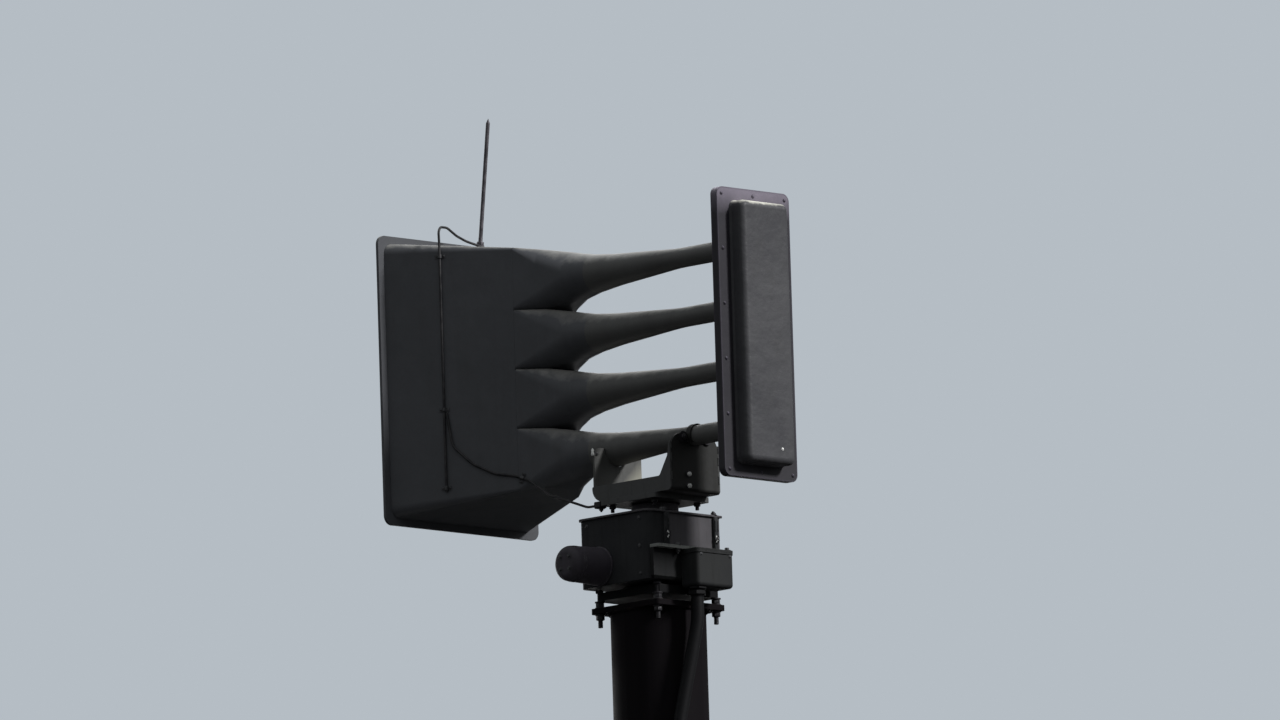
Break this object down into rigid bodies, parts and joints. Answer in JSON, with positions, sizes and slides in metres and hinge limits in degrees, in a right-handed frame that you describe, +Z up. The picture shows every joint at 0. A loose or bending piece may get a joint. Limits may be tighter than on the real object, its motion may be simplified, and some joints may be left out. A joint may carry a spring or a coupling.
{
  "type": "civil defense siren tower",
  "caption": "Tall steel pipe pole with a motor-driven turntable that carries a directional horn of stacked cells with a driver plate, lightning rod and conduit.",
  "frame": {"origin": "centre of the pole's foot, on the base plate's underside", "axes": "+Z up the pole; the horn's mouth faces -Y, its driver plate is on the +Y side and the rotator's motor on the +X side"},
  "size_m": [0.684, 1.42, 13.8537],
  "materials": {
    "dark_paint": "dark brown paint, satin",
    "galvanized": "dull galvanized",
    "zinc": "zinc plated",
    "grey_casting": "grey paint on cast aluminium, matt",
    "box_paint": "light grey paint, satin",
    "fiberglass": "moulded fiberglass, light grey gelcoat, weathered",
    "driver_cover": "moulded cover, light grey, weathered",
    "rod_metal": "weathered",
    "cable": "dark weathered cable"
  },
  "bodies": {
    "tower": {"pole_base_plate": "dark_paint", "base_gussets": "dark_paint", "pole_shaft": "dark_paint", "pole_cap_plate": "dark_paint", "mounting_studs": "zinc", "rotator_base_flange": "grey_casting", "gear_case": "grey_casting", "case_flange": "grey_casting", "upper_case": "grey_casting", "drive_cover": "grey_casting", "case_lid": "grey_casting", "lid_bolts": "zinc", "case_clamps": "zinc", "bearing_boss": "grey_casting", "terminal_box": "box_paint", "terminal_box_lid": "box_paint", "motor_cover": "grey_casting", "conduit": "galvanized", "conduit_gland": "galvanized", "conduit_straps": "galvanized"},
    "siren_head": {"turntable_hub": "galvanized", "turntable_plate": "galvanized", "turntable_bolts": "zinc", "cradle_base_plate": "galvanized", "cradle_side_left": "galvanized", "cradle_side_right": "galvanized", "front_saddle": "galvanized", "rear_cross_plate": "galvanized", "cradle_bolts": "zinc", "throat_strap": "galvanized", "throat_1": "fiberglass", "throat_2": "fiberglass", "throat_3": "fiberglass", "throat_4": "fiberglass", "horn_cell_1": "fiberglass", "horn_cell_2": "fiberglass", "horn_cell_3": "fiberglass", "horn_cell_4": "fiberglass", "horn_bell": "fiberglass", "bell_rim": "fiberglass", "driver_plate": "fiberglass", "driver_cover": "driver_cover", "rod_base": "zinc", "lightning_rod": "rod_metal", "ground_cable": "cable", "branch_cable": "cable", "cable_clips": "zinc", "cable_lug": "cable"}
  },
  "joints": [
    {"name": "head_turn", "type": "hinge", "parent": "tower", "child": "siren_head", "pos_m": [0, 0, 12.53], "axis": [0, 0, 1], "range_deg": [-180, 180]}
  ]
}
